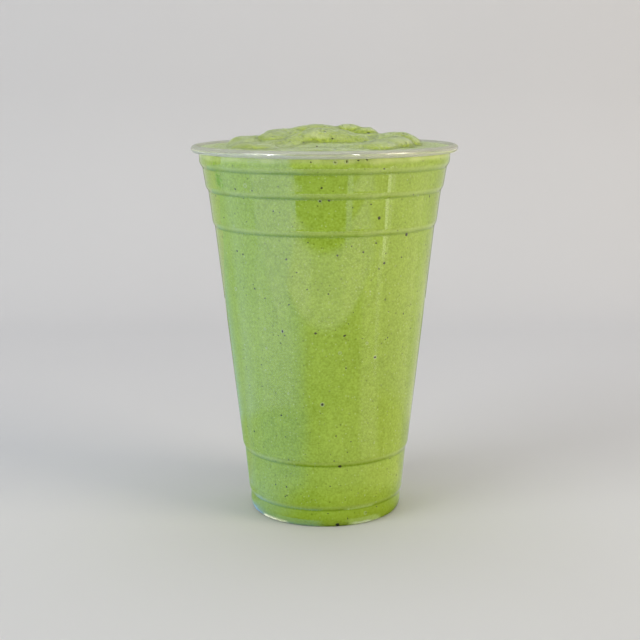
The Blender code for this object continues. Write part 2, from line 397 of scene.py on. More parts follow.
def fold_reading(x, y, fold):
    """Height of one fold in mm, and the place along and across it, at x and y in mm."""
    start, middle, end, front, behind = fold
    end_width = END_SHARE * min(front, behind)
    height, along, across = np.zeros_like(x), np.zeros_like(x), np.zeros_like(x)
    length = arc_length(fold)
    for i in range(ARC_POINTS):
        share = i / (ARC_POINTS - 1)
        weights = ((1 - share) * (1 - 2 * share), 4 * share * (1 - share), share * (2 * share - 1))
        arc_x, arc_y, top = [sum(w * p[k] for w, p in zip(weights, fold[:3])) for k in range(3)]
        width = np.where(y < arc_y, front, behind)
        reach = np.abs((x - arc_x) / end_width) ** FOLD_POWER
        reach = reach + np.abs((y - arc_y) / width) ** FOLD_POWER
        here = top * np.clip(1 - reach, 0, 1) ** FOLD_ROUND
        higher = here > height
        turn = np.arctan2(y - arc_y, x - arc_x)
        height = np.where(higher, here, height)
        along = np.where(higher, share * length + TURN_RADIUS * turn, along)
        across = np.where(higher, np.hypot(x - arc_x, y - arc_y), across)
    return height, along, across


plan_x, plan_y = wandered(grid_x / MM, grid_y / MM)
grid_share = np.clip(grid_radius / edge_radius, 0, 1)
heap = CROWN * (1 - grid_share**CROWN_POWER)
heap = heap + HEAP * np.clip(1 - (grid_radius / HEAP_RADIUS) ** 2, 0, 1) ** HEAP_POWER
total = np.exp(heap / FOLD_BLEND)
highest = heap / MM
grid_along, grid_across = 0.5 * plan_x + plan_y, plan_x - 0.5 * plan_y
along_start = 0.0
for fold, next_fold in zip(FOLDS, FOLDS[1:] + FOLDS[:1]):
    width = max(fold[3:]) + 1
    near = np.ones_like(total, bool)
    for plan, k in ((plan_x, 0), (plan_y, 1)):
        near &= plan > min(p[k] for p in fold[:3]) - width
        near &= plan < max(p[k] for p in fold[:3]) + width
    height, along, across = fold_reading(plan_x[near], plan_y[near], fold)
    total[near] += np.exp(height * MM / FOLD_BLEND)
    total[~near] += 1
    higher = height > highest[near]
    highest[near] = np.where(higher, height, highest[near])
    grid_along[near] = np.where(higher, along + along_start, grid_along[near])
    grid_across[near] = np.where(higher, across, grid_across[near])
    along_start += arc_length(fold) if next_fold[0] == fold[2] else FOLD_APART
inside = eased(np.clip((1 - grid_share) / WALL_SHARE, 0, 1))
grid_height = FILL_LEVEL + FOLD_BLEND * np.log(total) * inside
print("top of the mound in mm:", round(grid_height.max() / MM, 2))

# %% [markdown]
# ## Fine relief of the mound
#
# Close up, every fold carries fine ribs that run down its slope, where the drink slid as it
# was poured, and soft lumps of foam. A shader bump would fake both, but the highest ones
# show against the wall behind, so they belong in the mesh. The ribs need to know where they
# are along a fold, which is why the reading of the folds kept that place too.

# %% Noise for the relief
# Any large unlike numbers do here, because they only shuffle the values
HASH_PACE = (127.1, 311.7, 74.7)
HASH_SIZE = 43758.5453


def corner_value(i, j, seed):
    """A fixed value from -1 to 1 for each whole-number place."""
    value = np.sin(i * HASH_PACE[0] + j * HASH_PACE[1] + seed * HASH_PACE[2]) * HASH_SIZE
    return 2 * (value - np.floor(value)) - 1


def soft_noise(x, y, seed, wrap=None):
    """Smooth noise from -1 to 1. With wrap, it repeats along x after that many cells."""
    i, j = np.floor(x), np.floor(y)
    share_x, share_y = eased(x - i), eased(y - j)
    left, right = (i, i + 1) if wrap is None else (i % wrap, (i + 1) % wrap)
    low = corner_value(left, j, seed) * (1 - share_x) + corner_value(right, j, seed) * share_x
    top = corner_value(left, j + 1, seed) * (1 - share_x) + corner_value(right, j + 1, seed) * share_x
    return low * (1 - share_y) + top * share_y


# The ribs' width and length are in mm, as places on a fold are
RIB_WIDTH = 1.0
RIB_LENGTH = 5.0
RIB_HEIGHT = 0.28 * MM
LUMP_SIZE = 2.1 * MM
LUMP_HEIGHT = 0.10 * MM
GRAIN_SIZE = 0.8 * MM
GRAIN_HEIGHT = 0.05 * MM
PATCH_SIZE = 9.0 * MM
PATCH_SHARES = (0.6, 0.4)
RELIEF_EDGE = 2.0 * MM

ribs = 1 - 2 * np.abs(soft_noise(grid_along / RIB_WIDTH, grid_across / RIB_LENGTH, seed=3))
patches = soft_noise(grid_x / PATCH_SIZE, grid_y / PATCH_SIZE, seed=5)
patches = PATCH_SHARES[0] + PATCH_SHARES[1] * patches
ribs = softened(ribs * patches, 1)
lumps = soft_noise(grid_x / LUMP_SIZE, grid_y / LUMP_SIZE, seed=7)
grain = soft_noise(grid_x / GRAIN_SIZE, grid_y / GRAIN_SIZE, seed=11)
fine = RIB_HEIGHT * ribs + LUMP_HEIGHT * lumps + GRAIN_HEIGHT * grain
grid_relief = fine * np.clip((edge_radius - grid_radius) / RELIEF_EDGE, 0, 1)
print("relief from", round(grid_relief.min() / MM, 2), "to", round(grid_relief.max() / MM, 2), "mm")

# %% [markdown]
# ## The drink
#
# The drink is one turned body. Its side reaches a little way into the cup's wall, so that no
# layer of air shows between them, as a wet drink clings to plastic. Each vertex of the top
# also learns how far it stands above its surroundings. The finish uses that to make the
# crests paler, as a painted sheen.

# %% Build the drink
DRINK_SIDES = 400
TOP_RINGS = 126
EDGE_WAVE = 0.22 * MM
EDGE_WAVES = 14
# The wave fades in over one such part of the radius, and reaches this far down the side
EDGE_PARTS = 8
EDGE_DEPTH = 2 * MM

top_line = [(edge_radius * i / TOP_RINGS, FILL_LEVEL) for i in range(TOP_RINGS)]
drink_profile = top_line + drink_side[::-1]
places = lathe_places(drink_profile, DRINK_SIDES)
on_top = np.arange(len(places)) < 1 + (TOP_RINGS - 1) * DRINK_SIDES
top_x, top_y = places[on_top, 0], places[on_top, 1]
top_z = read_grid(grid_height, top_x, top_y) + read_grid(grid_relief, top_x, top_y)
places[on_top, 2] = np.minimum(top_z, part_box("smoothie")[1].z)

edge_turn = np.arctan2(places[:, 1], places[:, 0]) / (2 * math.pi) * EDGE_WAVES
edge_wave = EDGE_WAVE * soft_noise(edge_turn, 0 * edge_turn, seed=13, wrap=EDGE_WAVES)
reached = np.hypot(places[:, 0], places[:, 1]) / edge_radius
near_edge = np.clip(reached * EDGE_PARTS - (EDGE_PARTS - 1), 0, 1)
near_edge[places[:, 2] < FILL_LEVEL - EDGE_DEPTH] = 0
places[:, 2] += edge_wave * near_edge

smoothie = new_piece("smoothie_drink", places, lathe_faces(len(drink_profile) - 2, DRINK_SIDES))
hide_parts("smoothie")
print("drink faces:", len(smoothie.data.polygons), "top in mm:", round(places[:, 2].max() / MM, 2))

# %% Mark crests, ribs and corners, and tell the top from the side
CREST_REACH = 4
CREST_FULL = 0.30 * MM
CORNER_WIDTH = 0.42 * MM
LEDGE_LIFT = 1.25 * MM
LEDGE_WIDTH = 0.55 * MM


def add_mark(name, values):
    """Stores one value for each vertex of the drink, for its materials to read."""
    attribute = smoothie.data.attributes.new(name, "FLOAT", "POINT")
    attribute.data.foreach_set("value", values.astype(np.float32))


# The crest mark paints a sheen: the mound's colour turns paler on its crests
crest = np.clip((grid_height - softened(grid_height, CREST_REACH)) / CREST_FULL, -1, 1)
marks = {"crest": crest, "ribs": ribs, "along": grid_along, "across": grid_across}
for name, grid in marks.items():
    mark = np.zeros(len(places))
    mark[on_top] = read_grid(grid, top_x, top_y)
    add_mark(name, mark)

# The corner mark is positive in the crease under each step, where the side's colour gets painted shade,
# and negative on the ledge above, where it gets a painted highlight
corner = np.zeros(len(places))
for low_z, _, high_z, _ in BANDS[:-1]:
    corner += np.exp(-(((places[:, 2] - high_z) / CORNER_WIDTH) ** 2))
    corner -= np.exp(-(((places[:, 2] - high_z - LEDGE_LIFT) / LEDGE_WIDTH) ** 2))
corner[on_top] = 0
add_mark("corner", corner)

top_faces = DRINK_SIDES * (TOP_RINGS - 1)
slots = np.ones(len(smoothie.data.polygons), np.int32)
slots[:top_faces] = 0
smoothie.data.polygons.foreach_set("material_index", slots)
print("faces of the top:", top_faces)

# %% [markdown]
# ## Flecks
#
# Bits of seed and leaf skin show as dark flecks. The ones that stand out in the photograph
# go where it shows them, found by the line of sight, and the rest are drawn at random from
# a fixed seed, at the same density all round. Each is a small crumpled stone, flattened
# against the surface that it lies in.

# %% Find places on the drink
STEP_ALONG = 0.1 * MM
SIGHT_STEPS = 5000
SLOPE_STEP = 0.5 * MM
NORMAL_STEP = 0.4 * MM

above_ring = drink_side[len(panel_line()) :]
side_z = np.array([p[1] for p in above_ring])
side_radius = np.array([p[0] for p in above_ring])


def drink_radius(z):
    """Radius of the drink's side at a height."""
    return np.interp(z, side_z, side_radius)


def seen_on_side(pixel_x, pixel_y):
    """The place on the drink's side that shows at a pixel of the photograph."""
    ray = sight_line(pixel_x, pixel_y)
    start = (-CAMERA_PLACE.y - LIP_RADIUS) / ray.y
    along = start + STEP_ALONG * np.arange(SIGHT_STEPS)
    x, y, z = [CAMERA_PLACE[k] + along * ray[k] for k in range(3)]
    inside = np.hypot(x, y) < drink_radius(z)
    first = int(np.argmax(inside))
    return math.atan2(y[first], x[first]), float(z[first])


def side_matrix(turn, z):
    """Frame on the drink's side: X along the wall, Y up it and Z out of it."""
    radius = float(drink_radius(z))
    slope = float(drink_radius(z + SLOPE_STEP) - drink_radius(z - SLOPE_STEP)) / (2 * SLOPE_STEP)
    out = Vector((math.cos(turn), math.sin(turn), -slope)).normalized()
    across = Vector((-math.sin(turn), math.cos(turn), 0))
    place = Vector((radius * math.cos(turn), radius * math.sin(turn), z))
    return Matrix.Translation(place) @ Matrix((across, out.cross(across), out)).transposed().to_4x4()


def top_matrix(x, y):
    """Frame on the mound: Z is the surface's normal."""
    step = NORMAL_STEP
    heights = read_grid(grid_height, np.array([x, x + step, x]), np.array([y, y, y + step]))
    normal = Vector((heights[0] - heights[1], heights[0] - heights[2], step)).normalized()
    across = Vector((0, 1, 0)).cross(normal).normalized()
    base = Matrix((across, normal.cross(across), normal)).transposed().to_4x4()
    return Matrix.Translation((x, y, float(heights[0]))) @ base


print("the middle of the picture shows the side at z mm:", round(seen_on_side(324, 320)[1] / MM, 1))

# %% Shape one crumpled fleck
GOLDEN = (1 + math.sqrt(5)) / 2


def round_points():
    """The twelve corners of an icosahedron and its twenty faces."""
    corners = []
    for a in (-1, 1):
        for b in (-GOLDEN, GOLDEN):
            corners += [Vector((a, b, 0)), Vector((0, a, b)), Vector((b, 0, a))]
    corners = [c.normalized() for c in corners]
    near = min((a - b).length for a in corners for b in corners if a != b) * 1.01
    faces = []
    for i in range(12):
        for j in range(i + 1, 12):
            for k in range(j + 1, 12):
                a, b, c = corners[i], corners[j], corners[k]
                if max((a - b).length, (b - c).length, (c - a).length) < near:
                    outward = (b - a).cross(c - a).dot(a) > 0
                    faces.append((i, j, k) if outward else (i, k, j))
    return corners, faces


STONE, STONE_FACES = round_points()
STONE_LENGTH = (0.85, 1.3)
STONE_CRUMPLE = (0.72, 1.15)


class Heap:
    """Many small closed shapes that become one piece."""

    def __init__(self):
        self.places = []
        self.faces = []

    def add(self, matrix, places, faces):
        """Adds one shape, moved by the matrix."""
        start = len(self.places)
        self.places += [matrix @ p for p in places]
        self.faces += [tuple(start + k for k in face) for face in faces]

    def piece(self, name):
        """The piece made of all that was added."""
        return new_piece(name, self.places, self.faces)


def add_fleck(heap, matrix, radius, depth, draw):
    """A crumpled stone of that radius, flattened to that depth, turned at random."""
    turn = Matrix.Rotation(draw.uniform(0, 2 * math.pi), 4, "Z")
    longer = draw.uniform(*STONE_LENGTH)
    shape = Matrix.Diagonal((radius * longer, radius / longer, depth, 1.0))
    crumpled = [corner * draw.uniform(*STONE_CRUMPLE) for corner in STONE]
    heap.add(matrix @ turn @ shape, crumpled, STONE_FACES)


print("corners of a fleck:", len(STONE), "faces:", len(STONE_FACES))

# %% Flecks against the wall
# Pixel across, pixel down and radius in mm of the flecks that stand out
SEEN_FLECKS = [
    (335.2, 162.4, 0.32), (346.7, 161.4, 0.36), (358.4, 160.5, 0.30), (366.9, 159.8, 0.30),
    (311.0, 162.2, 0.28), (384.1, 168.6, 0.32), (321.7, 187.9, 0.34), (329.1, 200.3, 0.48),
    (320.0, 201.1, 0.34), (378.9, 218.0, 0.56), (406.1, 234.4, 0.70), (384.1, 263.1, 0.42),
    (376.0, 243.0, 0.38), (363.2, 252.1, 0.36), (337.4, 255.4, 0.36), (286.4, 259.4, 0.34),
    (237.5, 250.9, 0.36), (243.4, 254.2, 0.34), (216.3, 195.6, 0.34), (235.6, 188.9, 0.34),
    (315.5, 333.1, 0.44), (344.6, 335.6, 0.40), (282.6, 331.2, 0.38), (374.7, 357.1, 0.40),
    (322.4, 404.5, 0.46), (281.6, 415.2, 0.36), (339.8, 466.0, 0.66), (337.4, 524.4, 0.80),
]
SEEN_GROWTH = 1.25
FLECK_DEPTH = 0.2 * MM
FLECK_FLAT = 0.7
LOOSE_FLECKS = 620
LOOSE_RADIUS = (0.10, 0.38)
# Above 1, small flecks outnumber large ones
LOOSE_POWER = 2.5
LOOSE_Z = (3.0 * MM, 134.5 * MM)

draw = random.Random(2)
wall_flecks = Heap()
for pixel_x, pixel_y, radius in SEEN_FLECKS:
    radius *= SEEN_GROWTH * MM
    add_fleck(wall_flecks, side_matrix(*seen_on_side(pixel_x, pixel_y)), radius, FLECK_DEPTH, draw)
for _ in range(LOOSE_FLECKS):
    turn, z = draw.uniform(0, 2 * math.pi), draw.uniform(*LOOSE_Z)
    growth = draw.random() ** LOOSE_POWER
    radius = (LOOSE_RADIUS[0] + (LOOSE_RADIUS[1] - LOOSE_RADIUS[0]) * growth) * MM
    add_fleck(wall_flecks, side_matrix(turn, z), radius, min(radius * FLECK_FLAT, FLECK_DEPTH), draw)
side_flecks = wall_flecks.piece("side_flecks")
print("flecks on the side:", len(SEEN_FLECKS) + LOOSE_FLECKS)

# %% Flecks on the mound
FLECKS_SEEN_ON_TOP = [(-2.7 * MM, -29.0 * MM), (2.7 * MM, -20.5 * MM)]
FLECKS_SPREAD = 12
FLECK_REACH = 33.0 * MM
FLECK_SEED = 24
TOP_FLECK_RADIUS = (0.36, 0.55)
FINE_TOP_FLECKS = 120
FINE_TOP_RADIUS = (0.09, 0.18)
FINE_TOP_REACH = 0.96
SPREAD_SHARE = 0.45
SPREAD_FLAT = 0.6

draw = random.Random(FLECK_SEED)
spots = list(FLECKS_SEEN_ON_TOP)
for number in range(FLECKS_SPREAD):
    radius = FLECK_REACH * math.sqrt((number + 0.5) / FLECKS_SPREAD)
    turn = number * math.pi * (3 - math.sqrt(5)) + draw.uniform(-0.3, 0.3)
    spots.append((radius * math.cos(turn), radius * math.sin(turn)))
mound_flecks = Heap()
for x, y in spots:
    radius = draw.uniform(*TOP_FLECK_RADIUS) * MM
    is_seen = (x, y) in FLECKS_SEEN_ON_TOP
    radius *= 1.0 if is_seen else SPREAD_SHARE
    depth = radius * (1.0 if is_seen else SPREAD_FLAT)
    add_fleck(mound_flecks, top_matrix(x, y), radius, depth, draw)
for _ in range(FINE_TOP_FLECKS):
    reach = edge_radius * math.sqrt(draw.random()) * FINE_TOP_REACH
    turn = draw.uniform(0, 2 * math.pi)
    radius = draw.uniform(*FINE_TOP_RADIUS) * MM
    matrix = top_matrix(reach * math.cos(turn), reach * math.sin(turn))
    add_fleck(mound_flecks, matrix, radius, radius * FLECK_FLAT, draw)
top_flecks = mound_flecks.piece("top_flecks")
print("flecks on the mound:", len(spots) + FINE_TOP_FLECKS)

# %% [markdown]
# ## Bubbles and bits of leaf
#
# Air whipped into the drink sits against the wall as pale rings, and a torn scrap of leaf
# shows as a cluster of brighter green crumbs. Rings are small tori, flattened like the real
# bubble where it meets the plastic.

# %% Bubbles
# Pixel across, pixel down and radius in mm of the rings that stand out
SEEN_BUBBLES = [
    (245.3, 185.5, 0.62), (236.2, 288.8, 0.60), (265.3, 328.8, 0.42), (267.0, 348.0, 0.42),
    (366.8, 343.1, 0.46), (288.5, 393.4, 0.34), (417.3, 195.6, 0.50), (234.3, 225.8, 0.34),
    (335.2, 162.4, 0.66), (346.7, 161.4, 0.72), (320.0, 201.1, 0.50), (322.4, 404.5, 0.66),
    (339.9, 352.9, 0.50), (374.7, 357.1, 0.56), (365.0, 512.8, 0.52), (282.6, 331.2, 0.54),
]
RING_ROUND = 16
RING_TUBE = 6
TUBE_SHARE = 0.24
BUBBLE_DEPTH = 0.07 * MM
LOOSE_BUBBLES = 260
LOOSE_BUBBLE_RADIUS = (0.12, 0.30)


def ring_shape(radius):
    """A flattened torus of that radius."""
    points, faces = [], []
    for i in range(RING_ROUND):
        turn = 2 * math.pi * i / RING_ROUND
        for j in range(RING_TUBE):
            roll = 2 * math.pi * j / RING_TUBE
            reach = radius * (1 + TUBE_SHARE * math.cos(roll))
            height = BUBBLE_DEPTH * math.sin(roll)
            points.append(Vector((reach * math.cos(turn), reach * math.sin(turn), height)))
            here, ahead = i * RING_TUBE, (i + 1) % RING_ROUND * RING_TUBE
            above = (j + 1) % RING_TUBE
            faces.append((here + j, ahead + j, ahead + above, here + above))
    return points, faces


draw = random.Random(5)
bubble_heap = Heap()
for pixel_x, pixel_y, radius in SEEN_BUBBLES:
    bubble_heap.add(side_matrix(*seen_on_side(pixel_x, pixel_y)), *ring_shape(radius * MM))
for _ in range(LOOSE_BUBBLES):
    turn, z = draw.uniform(0, 2 * math.pi), draw.uniform(*LOOSE_Z)
    radius = draw.uniform(*LOOSE_BUBBLE_RADIUS) * MM
    shape = Matrix.Diagonal((radius, radius, BUBBLE_DEPTH, 1.0))
    bubble_heap.add(side_matrix(turn, z) @ shape, STONE, STONE_FACES)
bubbles = bubble_heap.piece("air_bubbles")
print("bubbles:", len(SEEN_BUBBLES) + LOOSE_BUBBLES)

# %% Bits of leaf
# Pixel across and down of the scrap's middle, and its reach in mm along and up the wall
LEAF_CENTRE = (219.0, 180.0)
LEAF_SPREAD = (1.7, 3.6)
LEAF_SCATTER = 0.5
LEAF_BITS = 34
LEAF_RADIUS = (0.28, 0.6)
LEAF_DEPTH = 0.1 * MM
LOOSE_LEAF_BITS = 70
LOOSE_LEAF_RADIUS = (0.12, 0.3)
LOOSE_LEAF_DEPTH = 0.08 * MM

draw = random.Random(9)
leaf_heap = Heap()
leaf_turn, leaf_z = seen_on_side(*LEAF_CENTRE)
for _ in range(LEAF_BITS):
    along_wall = draw.gauss(0, LEAF_SCATTER) * LEAF_SPREAD[0] * MM
    turn = leaf_turn + along_wall / float(drink_radius(leaf_z))
    z = leaf_z + draw.gauss(0, LEAF_SCATTER) * LEAF_SPREAD[1] * MM
    add_fleck(leaf_heap, side_matrix(turn, z), draw.uniform(*LEAF_RADIUS) * MM, LEAF_DEPTH, draw)
for _ in range(LOOSE_LEAF_BITS):
    turn, z = draw.uniform(0, 2 * math.pi), draw.uniform(*LOOSE_Z)
    radius = draw.uniform(*LOOSE_LEAF_RADIUS) * MM
    add_fleck(leaf_heap, side_matrix(turn, z), radius, LOOSE_LEAF_DEPTH, draw)
leaf_bits = leaf_heap.piece("leaf_bits")
print("bits of leaf:", LEAF_BITS + LOOSE_LEAF_BITS)

# %% [markdown]
# ## Effects that several finishes share
#
# The same fine foam shows on the side and on the mound, and all small bits vary in tone. Such
# an effect is a node group, built once with named inputs, that each material uses with its
# own values.

# %% Helpers for nodes


def new_node(tree, kind, **settings):
    """A node of that kind, with its own properties set."""
    node = tree.nodes.new(kind)
    for name, value in settings.items():
        setattr(node, name, value)
    return node


def set_inputs(node, **values):
    """Sets inputs by name, with spaces written as underscores."""
    for name, value in values.items():
        node.inputs[name.replace("_", " ")].default_value = value
    return node


def maths(tree, operation, first, second=None, clamp=False):
    """A Math node fed by sockets or plain numbers, and its output."""
    node = new_node(tree, "ShaderNodeMath", operation=operation, use_clamp=clamp)
    for socket, value in zip(node.inputs, (first, second)):
        if isinstance(value, bpy.types.NodeSocket):
            tree.links.new(value, socket)
        elif value is not None:
            socket.default_value = value
    return node.outputs[0]


def ramp_value(tree, value, low, high):
    """A smooth step from 0 at low to 1 at high."""
    node = new_node(tree, "ShaderNodeMapRange", interpolation_type="SMOOTHSTEP")
    set_inputs(node, From_Min=low, From_Max=high)
    tree.links.new(value, node.inputs["Value"])
    return node.outputs["Result"]


def mixed(tree, share, first, second):
    """A colour mix of two colours or sockets by a share."""
    node = new_node(tree, "ShaderNodeMix", data_type="RGBA")
    for socket, value in ((node.inputs[0], share), (node.inputs[6], first), (node.inputs[7], second)):
        if isinstance(value, bpy.types.NodeSocket):
            tree.links.new(value, socket)
        else:
            socket.default_value = value
    return node.outputs[2]


def laid_over(tree, colour, cover, mask, strength):
    """The colour with a cover over it where the mask is 1, at that strength."""
    return mixed(tree, maths(tree, "MULTIPLY", mask, strength), colour, cover)


def weighed(tree, first, first_share, second, second_share):
    """The sum of two values, each times a share of its own."""
    part = maths(tree, "MULTIPLY", first, first_share)
    return maths(tree, "ADD", part, maths(tree, "MULTIPLY", second, second_share))


def marked(tree, name):
    """The value of a mark that the mesh carries."""
    return new_node(tree, "ShaderNodeAttribute", attribute_name=name).outputs["Fac"]


def noise(tree, place, scale, detail=2.0, roughness=0.5):
    """A noise texture's value at a place."""
    node = new_node(tree, "ShaderNodeTexNoise")
    set_inputs(node, Scale=scale, Detail=detail, Roughness=roughness)
    tree.links.new(place, node.inputs["Vector"])
    return node.outputs["Fac"]


def new_group(name, inputs, outputs):
    """A shader node group with named sockets, and its input and output nodes."""
    group = bpy.data.node_groups.new(name, "ShaderNodeTree")
    for label, value in inputs.items():
        socket = group.interface.new_socket(label, in_out="INPUT", socket_type="NodeSocketFloat")
        socket.default_value = value
    for label in outputs:
        group.interface.new_socket(label, in_out="OUTPUT", socket_type="NodeSocketFloat")
    return group, group.nodes.new("NodeGroupInput").outputs, group.nodes.new("NodeGroupOutput").inputs


print("node helpers ready")

# %% Group: fine foam
GRAIN_PART = 0.8
CLOUD_PART = 0.2
DOT_EDGE = (0.30, 0.12)
DOT_RISE = 0.2
foam_group, given, gives = new_group(
    "fine_foam",
    {"Grain Scale": 1900.0, "Cloud Scale": 240.0, "Dot Scale": 900.0, "Dot Share": 0.2},
    ["Mottle", "Dots", "Height"],
)
tree = foam_group
place = tree.nodes.new("ShaderNodeTexCoord").outputs["Object"]
grain = new_node(tree, "ShaderNodeTexNoise")
set_inputs(grain, Detail=3.0, Roughness=0.6)
cloud = new_node(tree, "ShaderNodeTexNoise")
set_inputs(cloud, Detail=2.0, Roughness=0.5)
dots = new_node(tree, "ShaderNodeTexVoronoi", feature="F1")
for node, label in ((grain, "Grain Scale"), (cloud, "Cloud Scale"), (dots, "Dot Scale")):
    tree.links.new(place, node.inputs["Vector"])
    tree.links.new(given[label], node.inputs["Scale"])
sorted_out = new_node(tree, "ShaderNodeSeparateColor")
tree.links.new(dots.outputs["Color"], sorted_out.inputs[0])
is_chosen = maths(tree, "LESS_THAN", sorted_out.outputs[0], given["Dot Share"])
is_near = ramp_value(tree, dots.outputs["Distance"], *DOT_EDGE)
dot = maths(tree, "MULTIPLY", is_chosen, is_near)
tree.links.new(dot, gives["Dots"])
mottle = weighed(tree, grain.outputs["Fac"], GRAIN_PART, cloud.outputs["Fac"], CLOUD_PART)
tree.links.new(mottle, gives["Mottle"])
tree.links.new(maths(tree, "ADD", mottle, maths(tree, "MULTIPLY", dot, DOT_RISE)), gives["Height"])
print("group:", foam_group.name)

# %% Group: sunken specks
SPECK_LEAST = 0.35
SPECK_EDGE = (1.25, 0.55)
SPECK_FAINTEST = 0.3
speck_group, given, gives = new_group(
    "sunken_specks", {"Speck Scale": 420.0, "Speck Share": 0.2, "Speck Size": 0.16}, ["Specks"]
)
tree = speck_group
place = tree.nodes.new("ShaderNodeTexCoord").outputs["Object"]
cells = new_node(tree, "ShaderNodeTexVoronoi", feature="F1")
tree.links.new(place, cells.inputs["Vector"])
tree.links.new(given["Speck Scale"], cells.inputs["Scale"])
tones = new_node(tree, "ShaderNodeSeparateColor")
tree.links.new(cells.outputs["Color"], tones.inputs[0])
is_chosen = maths(tree, "LESS_THAN", tones.outputs[0], given["Speck Share"])
edge = maths(tree, "MULTIPLY", given["Speck Size"], maths(tree, "ADD", tones.outputs[1], SPECK_LEAST))
near = maths(tree, "DIVIDE", cells.outputs["Distance"], edge)
soft = ramp_value(tree, near, *SPECK_EDGE)
darkness = maths(tree, "MULTIPLY", tones.outputs[2], 1 - SPECK_FAINTEST)
darkness = maths(tree, "ADD", darkness, SPECK_FAINTEST)
strength = maths(tree, "MULTIPLY", soft, darkness)
tree.links.new(maths(tree, "MULTIPLY", is_chosen, strength), gives["Specks"])
print("group:", speck_group.name)

# %% [markdown]
# ## Finish of the drink
#
# The drink is opaque, so its colour carries the look: a yellow green with fine mottling,
# pale dots of air and small dark specks. Against the wall it has no shine of its own, because
# the plastic gives all of it. On the mound it is moist, with paler crests, which are a painted
# sheen. The colour also holds painted shade in the creases of the side and in the pits of the
# mound. So the two parts of the surface get a material each, built from the same groups.

# %% Colours of the drink
DRINK_GREEN = (0.455, 0.630, 0.080, 1.0)
# Deep tone of the mottling, also used as painted shade towards the foot
DRINK_DEEP = (0.270, 0.410, 0.018, 1.0)
# Pale tone of broad patches, also used as a painted highlight on the ledges of the steps
DRINK_PALE = (0.580, 0.720, 0.220, 1.0)
# Pale tone of the dots of air, also used as a painted sheen on the mound's crests
FOAM_AND_SHEEN_PALE = (0.760, 0.830, 0.520, 1.0)
# Dark tone of the seed specks, also used as painted shade in the mound's pits
SPECK_AND_PIT_SHADE_DARK = (0.060, 0.100, 0.015, 1.0)
# Painted shade in the creases under the steps of the side
CREASE_PAINTED_SHADE = (0.200, 0.350, 0.008, 1.0)
print("green of the drink:", DRINK_GREEN[:3])

# %% Helpers for materials


def new_material(name):
    """A material, its tree and its Principled BSDF."""
    material = bpy.data.materials.new(name)
    material.use_nodes = True
    return material, material.node_tree, material.node_tree.nodes["Principled BSDF"]


def use_group(tree, group, **values):
    """A group in a tree, with its inputs set."""
    node = new_node(tree, "ShaderNodeGroup", node_tree=group)
    return set_inputs(node, **values)


print("material helpers ready")

# %% Material of the drink's side, with its specks, and painted shade and highlights at its steps
side_material, tree, shader = new_material("smoothie_side")
foam = use_group(tree, foam_group, Grain_Scale=1250.0, Cloud_Scale=330.0, Dot_Scale=860.0, Dot_Share=0.22)
fine = use_group(tree, speck_group, Speck_Scale=760.0, Speck_Share=0.13, Speck_Size=0.24)
coarse = use_group(tree, speck_group, Speck_Scale=380.0, Speck_Share=0.07, Speck_Size=0.15)
place = tree.nodes.new("ShaderNodeTexCoord").outputs["Object"]
broad = ramp_value(tree, noise(tree, place, 26.0, detail=1.0), 0.3, 0.7)
colour = mixed(tree, ramp_value(tree, foam.outputs["Mottle"], 0.25, 0.70), DRINK_DEEP, DRINK_GREEN)
colour = laid_over(tree, colour, DRINK_PALE, broad, strength=0.18)
colour = laid_over(tree, colour, FOAM_AND_SHEEN_PALE, foam.outputs["Dots"], strength=0.35)
colour = laid_over(tree, colour, SPECK_AND_PIT_SHADE_DARK, fine.outputs["Specks"], strength=0.55)
colour = laid_over(tree, colour, SPECK_AND_PIT_SHADE_DARK, coarse.outputs["Specks"], strength=0.9)
# Painted shade in the crease under each step and a painted highlight on the ledge above it
step_painted_light = marked(tree, "corner")
colour = laid_over(tree, colour, CREASE_PAINTED_SHADE, ramp_value(tree, step_painted_light, 0.0, 0.9), strength=0.55)
colour = laid_over(tree, colour, DRINK_PALE, ramp_value(tree, step_painted_light, 0.0, -1.0), strength=0.45)
print("specks and creases are in", side_material.name)

# %% A pale band under the lip, partly foam and partly painted light, and painted shade at the foot
# The pale band under the lip is foam, made paler still as painted light
FOAM_AND_LIGHT_BAND = (133.2 * MM, 135.0 * MM)
FOAM_AND_LIGHT_BAND_PALE = (0.710, 0.805, 0.360, 1.0)
FOAM_AND_LIGHT_WAVE = 2.4 * MM
FOOT_SHADE = (3.0 * MM, 13.0 * MM)
height = new_node(tree, "ShaderNodeSeparateXYZ")
tree.links.new(place, height.inputs[0])
waves = maths(tree, "MULTIPLY", noise(tree, place, 110.0, detail=3.0), FOAM_AND_LIGHT_WAVE)
level = maths(tree, "ADD", height.outputs["Z"], waves)
band = ramp_value(tree, level, FOAM_AND_LIGHT_BAND[0] + FOAM_AND_LIGHT_WAVE / 2, FOAM_AND_LIGHT_BAND[1] + FOAM_AND_LIGHT_WAVE / 2)
blotches = ramp_value(tree, noise(tree, place, 170.0, detail=2.0), 0.35, 0.62)
strength = maths(tree, "ADD", maths(tree, "MULTIPLY", blotches, 0.4), 0.45)
colour = laid_over(tree, colour, FOAM_AND_LIGHT_BAND_PALE, band, strength)
# Painted shade: the drink turns darker towards the foot
low = ramp_value(tree, height.outputs["Z"], FOOT_SHADE[1], FOOT_SHADE[0])
colour = laid_over(tree, colour, DRINK_DEEP, low, strength=0.45)
tree.links.new(colour, shader.inputs["Base Color"])
set_inputs(shader, Roughness=0.6, Specular_IOR_Level=0.0)
print("material:", side_material.name)

